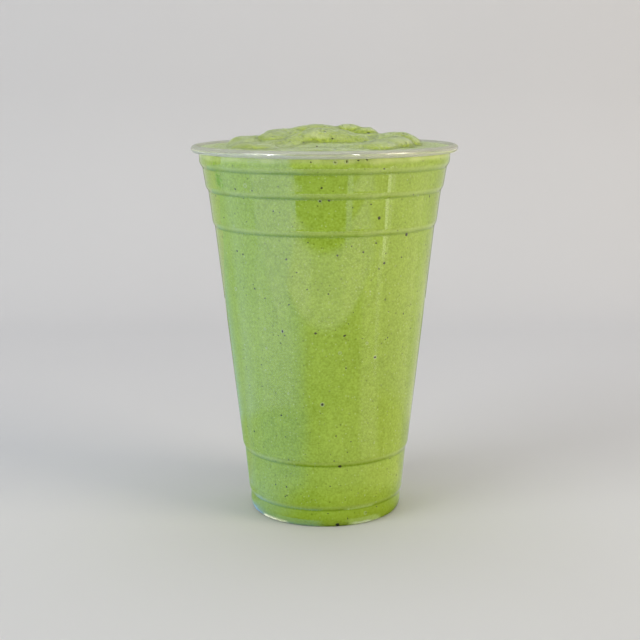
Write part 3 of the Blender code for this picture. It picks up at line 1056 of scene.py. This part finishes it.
# %% Material of the mound, with its streaks, pits darkened as painted shade and crests paled as painted sheen
TOP_GREEN = (0.505, 0.650, 0.070, 1.0)
TOP_DEEP = (0.275, 0.390, 0.012, 1.0)
STREAK_WIDE = 2.6
STREAK_LONG = 0.7
top_material, tree, shader = new_material("smoothie_top")
foam = use_group(tree, foam_group, Grain_Scale=1100.0, Cloud_Scale=260.0, Dot_Scale=820.0, Dot_Share=0.24)
pits = use_group(tree, speck_group, Speck_Scale=640.0, Speck_Share=0.30, Speck_Size=0.29)
on_fold = new_node(tree, "ShaderNodeCombineXYZ")
tree.links.new(maths(tree, "MULTIPLY", marked(tree, "along"), STREAK_WIDE), on_fold.inputs["X"])
tree.links.new(maths(tree, "MULTIPLY", marked(tree, "across"), STREAK_LONG), on_fold.inputs["Y"])
streaks = noise(tree, on_fold.outputs[0], 1.0, detail=2.5, roughness=0.6)
tone = weighed(tree, foam.outputs["Mottle"], 0.45, streaks, 0.55)
ribs_here = marked(tree, "ribs")
tone = maths(tree, "ADD", tone, maths(tree, "MULTIPLY", ribs_here, 0.06))
colour = mixed(tree, ramp_value(tree, tone, 0.41, 0.60), TOP_DEEP, TOP_GREEN)
# Painted sheen: the crests and the tops of the ribs turn paler
crest_painted_sheen = maths(tree, "ADD", marked(tree, "crest"), maths(tree, "MULTIPLY", ribs_here, 0.5))
colour = laid_over(tree, colour, FOAM_AND_SHEEN_PALE, ramp_value(tree, crest_painted_sheen, 0.0, 1.1), strength=0.55)
colour = laid_over(tree, colour, FOAM_AND_SHEEN_PALE, foam.outputs["Dots"], strength=0.7)
# Painted shade: the pits turn dark
colour = laid_over(tree, colour, SPECK_AND_PIT_SHADE_DARK, pits.outputs["Specks"], strength=0.95)
tree.links.new(colour, shader.inputs["Base Color"])
print("streaks and pits are in", top_material.name)

# %% Moist sheen and fine bumps of the mound
TOP_ROUGHNESS = 0.22
MOTTLE_ROUGHNESS = 0.3
PIT_HEIGHT = -0.8
SHEEN_TINT = (0.88, 0.98, 1.00, 1.0)
rougher = maths(tree, "MULTIPLY", foam.outputs["Mottle"], MOTTLE_ROUGHNESS)
tree.links.new(maths(tree, "ADD", rougher, TOP_ROUGHNESS), shader.inputs["Roughness"])
sunk = maths(tree, "MULTIPLY", pits.outputs["Specks"], PIT_HEIGHT)
bump = set_inputs(new_node(tree, "ShaderNodeBump"), Strength=0.8, Distance=0.5 * MM)
rough = maths(tree, "ADD", foam.outputs["Height"], streaks)
tree.links.new(maths(tree, "ADD", rough, sunk), bump.inputs["Height"])
tree.links.new(bump.outputs["Normal"], shader.inputs["Normal"])
set_inputs(shader, Specular_IOR_Level=0.5)
set_inputs(shader, Sheen_Weight=0.85, Sheen_Roughness=0.35, Sheen_Tint=SHEEN_TINT)
smoothie.data.materials.append(top_material)
smoothie.data.materials.append(side_material)
print("material:", top_material.name)

# %% [markdown]
# ## Finish of the cup
#
# The sheet is clear and glossy on both faces. Drawing it into the mould leaves faint upright
# ripples and a trace of haze, which break up the reflections a little. Rolling the lip over
# strains the plastic more, so the lip looks milky grey under its gloss, and gets a finish of
# its own. Lamps should reach the drink through the wall, so shadow rays pass the plastic as
# if it weren't there. This also keeps the picture free of noise.

# %% Material of the cup
PLASTIC_IOR = 1.57
RIPPLE_ROUND = 90.0
RIPPLE_UP = 9.0
HAZE_SCALE = 160.0
WALL_TINT = (0.985, 0.992, 0.985, 1.0)
SHADOW_TINT = (0.97, 0.98, 0.97, 1.0)


def plastic_material(name, tint, haze_low, haze_high, ripple_strength):
    """Clear glossy plastic whose haze varies between two roughness values."""
    material, tree, shader = new_material(name)
    place = tree.nodes.new("ShaderNodeTexCoord").outputs["Object"]
    stretch = new_node(tree, "ShaderNodeMapping")
    stretch.inputs["Scale"].default_value = (RIPPLE_ROUND, RIPPLE_ROUND, RIPPLE_UP)
    tree.links.new(place, stretch.inputs["Vector"])
    ripple = noise(tree, stretch.outputs[0], 1.0, detail=2.0)
    haze = ramp_value(tree, noise(tree, place, HAZE_SCALE, detail=4.0, roughness=0.6), 0.3, 0.8)
    span = maths(tree, "MULTIPLY", haze, haze_high - haze_low)
    tree.links.new(maths(tree, "ADD", span, haze_low), shader.inputs["Roughness"])
    bump = set_inputs(new_node(tree, "ShaderNodeBump"), Strength=ripple_strength, Distance=0.6 * MM)
    tree.links.new(ripple, bump.inputs["Height"])
    tree.links.new(bump.outputs["Normal"], shader.inputs["Normal"])
    set_inputs(shader, IOR=PLASTIC_IOR, Transmission_Weight=1.0, Metallic=0.0)
    shader.inputs["Base Color"].default_value = tint
    passing = new_node(tree, "ShaderNodeBsdfTransparent")
    passing.inputs["Color"].default_value = SHADOW_TINT
    chooser = tree.nodes.new("ShaderNodeMixShader")
    light_path = tree.nodes.new("ShaderNodeLightPath")
    tree.links.new(light_path.outputs["Is Shadow Ray"], chooser.inputs[0])
    tree.links.new(shader.outputs[0], chooser.inputs[1])
    tree.links.new(passing.outputs[0], chooser.inputs[2])
    tree.links.new(chooser.outputs[0], tree.nodes["Material Output"].inputs["Surface"])
    return material, shader


wall_material, shader = plastic_material(
    "clear_plastic", WALL_TINT, haze_low=0.0, haze_high=0.05, ripple_strength=0.12
)
cup.data.materials.append(wall_material)
print("material:", wall_material.name)

# %% Material of the lip
LIP_FROM = 135.7 * MM
LIP_GLOSS_Z = 137.15 * MM
# The gloss fades out between these two distances above and below that height
LIP_GLOSS_FADE = (0.525 * MM, 0.175 * MM)
LIP_COAT = 0.8
# The lip's lower half is painted paler than its upper half, as painted light from the floor below
LIP_PAINTED_LIGHT_Z = (136.6 * MM, 137.6 * MM)
DULL_HAZE = 0.34
LIP_UPPER = (0.63, 0.64, 0.59, 1.0)
LIP_UNDER_PAINTED_LIGHT = (0.83, 0.84, 0.80, 1.0)
lip_material, shader = plastic_material(
    "hazy_lip", LIP_UPPER, haze_low=0.16, haze_high=0.26, ripple_strength=0.03
)
set_inputs(shader, Transmission_Weight=0.66, Coat_Roughness=0.06, Coat_IOR=1.5)
tree = lip_material.node_tree
height = new_node(tree, "ShaderNodeSeparateXYZ")
tree.links.new(tree.nodes.new("ShaderNodeTexCoord").outputs["Object"], height.inputs[0])
off = maths(tree, "ABSOLUTE", maths(tree, "SUBTRACT", height.outputs["Z"], LIP_GLOSS_Z))
middle = ramp_value(tree, off, *LIP_GLOSS_FADE)
tree.links.new(maths(tree, "MULTIPLY", middle, LIP_COAT), shader.inputs["Coat Weight"])
# Painted light: the lip's underside paler than its top
upper = ramp_value(tree, height.outputs["Z"], *LIP_PAINTED_LIGHT_Z)
tree.links.new(mixed(tree, upper, LIP_UNDER_PAINTED_LIGHT, LIP_UPPER), shader.inputs["Base Color"])
haze = shader.inputs["Roughness"].links[0].from_socket
dull = maths(tree, "MULTIPLY", maths(tree, "SUBTRACT", 1.0, middle), DULL_HAZE)
tree.links.new(maths(tree, "ADD", haze, dull), shader.inputs["Roughness"])
cup.data.materials.append(lip_material)
middles = np.zeros(len(cup.data.polygons) * 3)
cup.data.polygons.foreach_get("center", middles)
on_lip = (middles.reshape(-1, 3)[:, 2] > LIP_FROM).astype(np.int32)
cup.data.polygons.foreach_set("material_index", on_lip)
print("faces of the lip:", int(on_lip.sum()))

# %% Materials of the small bits


def bit_material(name, dark, light, roughness):
    """A finish that varies from bit to bit and a little inside each."""
    material, tree, shader = new_material(name)
    place = tree.nodes.new("ShaderNodeTexCoord").outputs["Object"]
    own = tree.nodes.new("ShaderNodeNewGeometry").outputs["Random Per Island"]
    spots = noise(tree, place, 2600.0, detail=2.0)
    share = weighed(tree, own, 0.6, spots, 0.4)
    tree.links.new(mixed(tree, share, dark, light), shader.inputs["Base Color"])
    set_inputs(shader, Roughness=roughness, Specular_IOR_Level=0.2)
    return material


# Piece, name, darkest tone, lightest tone and roughness
BIT_FINISHES = [
    (side_flecks, "seed_dark", (0.020, 0.026, 0.010, 1.0), (0.115, 0.130, 0.050, 1.0), 0.6),
    (top_flecks, "seed_wet", (0.014, 0.020, 0.008, 1.0), (0.080, 0.095, 0.030, 1.0), 0.35),
    (bubbles, "bubble_pale", (0.420, 0.540, 0.230, 1.0), (0.640, 0.720, 0.450, 1.0), 0.5),
    (leaf_bits, "leaf_green", (0.250, 0.490, 0.001, 1.0), (0.370, 0.640, 0.004, 1.0), 0.6),
]
for piece, name, dark, light, roughness in BIT_FINISHES:
    piece.data.materials.append(bit_material(name, dark, light, roughness))
print("materials:", len(bpy.data.materials))

# %% [markdown]
# ## The studio
#
# A plain pale floor runs back and turns up into a plain wall, in one sheet. A floor and a
# wall of their own would meet in a hard line behind the cup. The round bend leaves none.

# %% Floor and backdrop
FLOOR_HALF = 1.6
FLOOR_FRONT = -1.6
WALL_PLACE = 0.50
WALL_TOP = 1.5
BEND_RADIUS = 0.16
BEND_POINTS = 18
SWEEP_COLUMNS = 8
FLOOR_DIM = (0.69, 0.695, 0.72, 1.0)
FLOOR_PALE = (0.75, 0.755, 0.78, 1.0)

sweep = [(FLOOR_FRONT, 0.0), (WALL_PLACE - BEND_RADIUS, 0.0)]
for share in shares(BEND_POINTS):
    turn = 0.5 * math.pi * share
    sweep.append(
        (WALL_PLACE - BEND_RADIUS + BEND_RADIUS * math.sin(turn), BEND_RADIUS * (1 - math.cos(turn)))
    )
sweep += [(WALL_PLACE, BEND_RADIUS), (WALL_PLACE, WALL_TOP)]


def sheet_mesh(name, rows, half_width, columns):
    """A mesh drawn out sideways from a line of (y, z) points, to both sides of x 0."""
    across = [half_width * (2 * i / columns - 1) for i in range(columns + 1)]
    count = columns + 1
    mesh = bpy.data.meshes.new(name)
    mesh.from_pydata(
        [(x, y, z) for y, z in rows for x in across],
        [],
        [
            (r * count + c, r * count + c + 1, (r + 1) * count + c + 1, (r + 1) * count + c)
            for r in range(len(rows) - 1)
            for c in range(columns)
        ],
    )
    mesh.shade_smooth()
    sheet = bpy.data.objects.new(name, mesh)
    bpy.context.scene.collection.objects.link(sheet)
    return sheet


floor = sheet_mesh("studio_sweep", sweep, FLOOR_HALF, SWEEP_COLUMNS)
floor_material, tree, shader = new_material("pale_floor")
place = tree.nodes.new("ShaderNodeTexCoord").outputs["Object"]
cloudy = noise(tree, place, 3.0, detail=3.0)
tree.links.new(mixed(tree, cloudy, FLOOR_DIM, FLOOR_PALE), shader.inputs["Base Color"])
set_inputs(shader, Roughness=0.8, Specular_IOR_Level=0.0)
floor.data.materials.append(floor_material)
print("floor faces:", len(floor.data.polygons))

# %% [markdown]
# ## Lights
#
# The light is soft and neutral from the front left and overhead, and warmer from the right.
# Each lamp is a large rectangle, because a large lamp gives shadows a soft edge. A small one
# would draw them hard. The even grey air of the scene only lifts what the lamps leave dark.

# %% Lights


def soft_light(name, place, aim, size, power, colour):
    """A rectangular soft light that the camera doesn't see, aimed at a point."""
    data = bpy.data.lights.new(name, "AREA")
    data.shape = "RECTANGLE"
    data.size, data.size_y = size
    data.energy = power
    data.color = colour
    light = bpy.data.objects.new(name, data)
    light.location = place
    light.rotation_euler = (Vector(aim) - Vector(place)).to_track_quat("-Z", "Y").to_euler()
    light.visible_camera = False
    bpy.context.scene.collection.objects.link(light)
    return light


AIM = (0.0, 0.0, 0.08)
AIR_TONE = (0.82, 0.82, 0.82, 1.0)
AIR_STRENGTH = 0.31
# Name, place, size, power and colour
SOFT_LIGHTS = [
    ("window_left", (-0.9, -0.65, 0.55), (0.7, 0.8), 6.0, (0.97, 1.0, 1.0)),
    ("window_right", (0.9, -0.45, 0.45), (0.5, 0.7), 5.2, (1.0, 0.86, 0.66)),
    ("overhead", (0.0, 0.1, 1.2), (1.0, 1.0), 4.0, (0.97, 0.99, 1.0)),
]
for name, place, size, power, colour in SOFT_LIGHTS:
    soft_light(name, place, AIM, size, power, colour)

world = bpy.data.worlds.new("studio_air")
world.use_nodes = True
set_inputs(world.node_tree.nodes["Background"], Color=AIR_TONE, Strength=AIR_STRENGTH)
bpy.context.scene.world = world
bpy.context.scene.view_settings.view_transform = "Standard"
print("lights:", len(bpy.data.lights))

# %% [markdown]
# ## A card that the cup mirrors
#
# A glossy cup is mostly lit by what it mirrors, so a studio puts cards round it: pale where
# a soft veil is wanted, and dark where the colour should come through deep and clean. Here
# one card lies flat on the floor and changes tone round the cup. Only mirrored rays see it,
# so it tints neither the floor nor the drink, and it never shows in a picture itself. More
# lamps could give the same veils, but they would light the drink as well.

# %% Grid and tones of the card
CARD_BASE = (0.50, 0.50, 0.49)
CARD_LIFT = 0.4 * MM
CARD_REACH = (0.0279, 2.2)
CARD_RINGS = 150
CARD_STEPS = 360


def zone(value, low, high, soft):
    """1 between low and high, fading to 0 over the soft width outside both."""
    up = eased(np.clip((value - low) / soft + 1, 0, 1))
    down = eased(np.clip((high - value) / soft + 1, 0, 1))
    return up * down


card_turn = np.linspace(-180.0, 180.0, CARD_STEPS + 1)[None, :]
card_reach = np.geomspace(*CARD_REACH, CARD_RINGS)[:, None]
card_x = card_reach * np.sin(np.radians(card_turn))
card_y = -card_reach * np.cos(np.radians(card_turn))
whole = 0 * card_x
glow = np.stack([whole + tone for tone in CARD_BASE], axis=-1)
# Each tone covers the ones before it. Its zone runs from and to a turn in degrees, with the
# left side negative, or a distance in metres, and then fades out over the third number
CARD_TONES = [
    # Broad veils: cool on the left, paler in front, neutral on the right
    ((0.40, 0.58, 0.66), zone(card_turn, -181, -38, 14) * zone(card_reach, 0.10, 3, 0.02)),
    ((0.66, 0.86, 1.62), zone(card_turn, -100, -36, 22) * zone(card_reach, 0.12, 3, 0.03)),
    ((0.98, 1.16, 2.05), zone(card_turn, -74, -40, 8) * zone(card_reach, 0.12, 0.34, 0.03)),
    ((0.68, 0.74, 0.52), zone(card_turn, -8, 60, 20) * zone(card_reach, 0.075, 0.15, 0.03)),
    ((0.75, 0.74, 0.66), zone(card_turn, 60, 150, 10) * zone(card_reach, 0.14, 3, 0.04)),
    # Near the foot, which the lower wall mirrors
    ((0.42, 0.62, 0.80), zone(card_turn, -100, -40, 25) * zone(card_reach, 0.02, 0.11, 0.02)),
    ((0.36, 0.50, 0.34), zone(card_turn, -181, -125, 18) * zone(card_reach, 0.0, 0.11, 0.02)),
    ((0.36, 0.50, 0.34), zone(card_turn, -181, -58, 12) * zone(card_reach, 0.0, 0.040, 0.006)),
    ((0.36, 0.61, 1.35), zone(card_turn, -70, -40, 28) * zone(card_reach, 0.02, 0.11, 0.02)),
    ((0.02, 0.02, 0.02), zone(card_turn, -20, 60, 45) * zone(card_reach, 0.0, 0.046, 0.02)),
    ((0.86, 0.86, 0.50), zone(card_turn, 56, 100, 16) * zone(card_reach, 0.062, 0.14, 0.02)),
    # Further out, which the upper wall mirrors: pale sides and a deep middle
    ((1.12, 1.06, 0.92), zone(card_turn, 66, 108, 9) * zone(card_reach, 0.16, 3, 0.04)),
    ((1.00, 1.15, 2.30), zone(card_turn, -70, -29, 3) * zone(card_reach, 0.33, 3, 0.02)),
    ((0.02, 0.02, 0.12), zone(card_turn, -27, 20, 1.5) * zone(-card_y, 0.324, 4, 0.012)),
    ((0.30, 0.25, 0.20), zone(card_turn, 28, 58, 1.5) * zone(-card_y, 0.318, 4, 0.02)),
    ((0.95, 0.90, 0.66), zone(card_turn, 46, 58, 10.0) * zone(card_reach, 0.33, 3, 0.02)),
    ((1.50, 1.46, 1.08), zone(card_turn, 44, 58, 9.0) * zone(card_reach, 0.10, 0.33, 0.04)),
    # A pale patch in front, with brighter parts
    ((1.30, 1.16, 1.40), zone(card_x, -0.32, 0.24, 0.04) * zone(-card_y, 0.212, 0.306, 0.014)),
    ((1.85, 1.64, 2.05), zone(card_x, -0.20, -0.09, 0.04) * zone(-card_y, 0.220, 0.292, 0.02)),
    ((1.85, 1.66, 1.60), zone(card_x, 0.09, 0.19, 0.03) * zone(-card_y, 0.225, 0.292, 0.02)),
    ((1.40, 1.40, 2.55), zone(card_x, -0.36, -0.20, 0.05) * zone(-card_y, 0.16, 0.300, 0.03)),
    # Narrow bright streaks on the right
    ((1.25, 1.30, 1.55), zone(card_turn, 20.5, 25, 0.8) * zone(card_reach, 0.335, 0.6, 0.01)),
    ((3.30, 3.20, 2.70), zone(card_turn, 60.0, 62.5, 1.0) * zone(card_reach, 0.34, 0.9, 0.03)),
    ((2.10, 2.00, 1.70), zone(card_turn, 64.5, 66.5, 0.8) * zone(card_reach, 0.34, 0.9, 0.03)),
    ((1.90, 1.85, 1.50), zone(card_turn, 56, 59, 1.5) * zone(card_reach, 0.17, 0.33, 0.03)),
    # Far away in front, which only the highest band mirrors
    ((1.35, 1.38, 0.50), zone(card_turn, -27, 20, 8) * zone(card_reach, 0.93, 3, 0.08)),
    # Glints along the very foot
    ((0.25, 0.60, 1.20), zone(card_turn, -50, -10, 10) * zone(card_reach, 0.0, 0.0322, 0.0012)),
    ((1.30, 1.50, 0.85), zone(card_turn, 20, 44, 5) * zone(card_reach, 0.0, 0.0322, 0.0012)),
    ((3.40, 3.40, 3.10), zone(card_turn, -54, -34, 5) * zone(card_reach, 0.0, 0.0291, 0.0004)),
    ((3.00, 3.00, 2.60), zone(card_turn, 23, 34, 4) * zone(card_reach, 0.0, 0.0291, 0.0004)),
    # Behind the cup
    ((0.30, 0.32, 0.28), zone(abs(card_turn), 156, 181, 8) + 0 * card_reach),
]
for tone, mask in CARD_TONES:
    glow = glow * (1 - mask[..., None]) + np.array(tone) * mask[..., None]
print("tones on the card:", len(CARD_TONES))

# %% Mesh and material of the card
CARD_MARKS = ("glow_red", "glow_green", "glow_blue")
DULL_BLACK = (0.0, 0.0, 0.0, 1.0)


def only_mirrored(card):
    """Hides a card from all rays but the mirrored ones."""
    for ray in ("camera", "diffuse", "transmission", "shadow"):
        setattr(card, "visible_" + ray, False)


card_mesh = bpy.data.meshes.new("mirror_card")
count = CARD_STEPS + 1
card_mesh.from_pydata(
    [(x, y, CARD_LIFT) for x, y in zip(card_x.ravel(), card_y.ravel())],
    [],
    [
        (r * count + c, r * count + c + 1, (r + 1) * count + c + 1, (r + 1) * count + c)
        for r in range(CARD_RINGS - 1)
        for c in range(CARD_STEPS)
    ],
)
for axis, name in enumerate(CARD_MARKS):
    values = glow[..., axis].ravel().astype(np.float32)
    card_mesh.attributes.new(name, "FLOAT", "POINT").data.foreach_set("value", values)
card = bpy.data.objects.new("mirror_card", card_mesh)
bpy.context.scene.collection.objects.link(card)
only_mirrored(card)

card_material, tree, shader = new_material("mirror_card")
parts = new_node(tree, "ShaderNodeCombineColor")
for axis, name in enumerate(CARD_MARKS):
    tree.links.new(marked(tree, name), parts.inputs[axis])
tree.links.new(parts.outputs[0], shader.inputs["Emission Color"])
set_inputs(shader, Emission_Strength=1.0, Specular_IOR_Level=0.0, Roughness=1.0)
set_inputs(shader, Base_Color=DULL_BLACK)
card_material.cycles.emission_sampling = "NONE"
card.data.materials.append(card_material)
print("mirrored card, brightest value:", round(float(glow.max()), 2))

# %% [markdown]
# ## Glints and flags
#
# The rolled lip is a thin tube, and gathers what stands round it into short bright lines. So
# each glint gets a narrow upright card of its own, whose turn decides where the glint shows.
# A lamp would do it too, but it would also light the drink.
#
# A clear wall shows its edge only where it mirrors something of another tone than what lies
# behind it. Two dim cards behind the cup, which photographers call flags, draw its outline.

# %% Upright cards that glint on the lip
UPRIGHT_STEPS = 6
CARD_DIM = (0.9, 0.88, 0.82, 1.0)
CARD_BRIGHT = (1.0, 1.0, 1.0, 1.0)
GLINT_REACH = 1.2
GLINT_HEIGHTS = (0.05, 0.55)
# Name, the two turns from the front in degrees, and strength
GLINT_CARDS = [
    ("glint_card_a", (-47.5, -43), 27.0),
    ("glint_card_b", (24, 28), 34.0),
    ("glint_card_c", (54, 57), 6.0),
    ("glint_card_d", (63.5, 70), 5.0),
    ("glint_card_e", (-86, -66), 0.8),
    ("glint_card_f", (-112, -92), 0.7),
]


def upright_card(name, turns, shine, reach, heights):
    """An upright card between two turns, at one distance from the cup's axis."""
    places = []
    for z in heights:
        for i in range(UPRIGHT_STEPS + 1):
            turn = math.radians(turns[0] + (turns[1] - turns[0]) * i / UPRIGHT_STEPS)
            places.append((reach * math.sin(turn), -reach * math.cos(turn), z))
    count = UPRIGHT_STEPS + 1
    mesh = bpy.data.meshes.new(name)
    mesh.from_pydata(places, [], [(i, i + 1, count + i + 1, count + i) for i in range(UPRIGHT_STEPS)])
    upright = bpy.data.objects.new(name, mesh)
    bpy.context.scene.collection.objects.link(upright)
    only_mirrored(upright)
    material, tree, shader = new_material(name)
    place = tree.nodes.new("ShaderNodeTexCoord").outputs["Object"]
    uneven = noise(tree, place, 3.0, detail=1.0)
    tree.links.new(mixed(tree, uneven, CARD_DIM, CARD_BRIGHT), shader.inputs["Emission Color"])
    set_inputs(shader, Emission_Strength=shine, Specular_IOR_Level=0.0, Base_Color=DULL_BLACK)
    material.cycles.emission_sampling = "NONE"
    mesh.materials.append(material)


for name, turns, shine in GLINT_CARDS:
    upright_card(name, turns, shine, GLINT_REACH, GLINT_HEIGHTS)
print("upright cards:", len(GLINT_CARDS))

# %% Dim flags that draw the edges of the clear wall
FLAG_REACH = 0.40
FLAG_HEIGHTS = (0.0, 0.5)
FLAG_SHINE = 0.34
upright_card("flag_back_left", (-178, -156), FLAG_SHINE, FLAG_REACH, FLAG_HEIGHTS)
upright_card("flag_back_right", (156, 178), FLAG_SHINE, FLAG_REACH, FLAG_HEIGHTS)
print("flags behind:", 2)
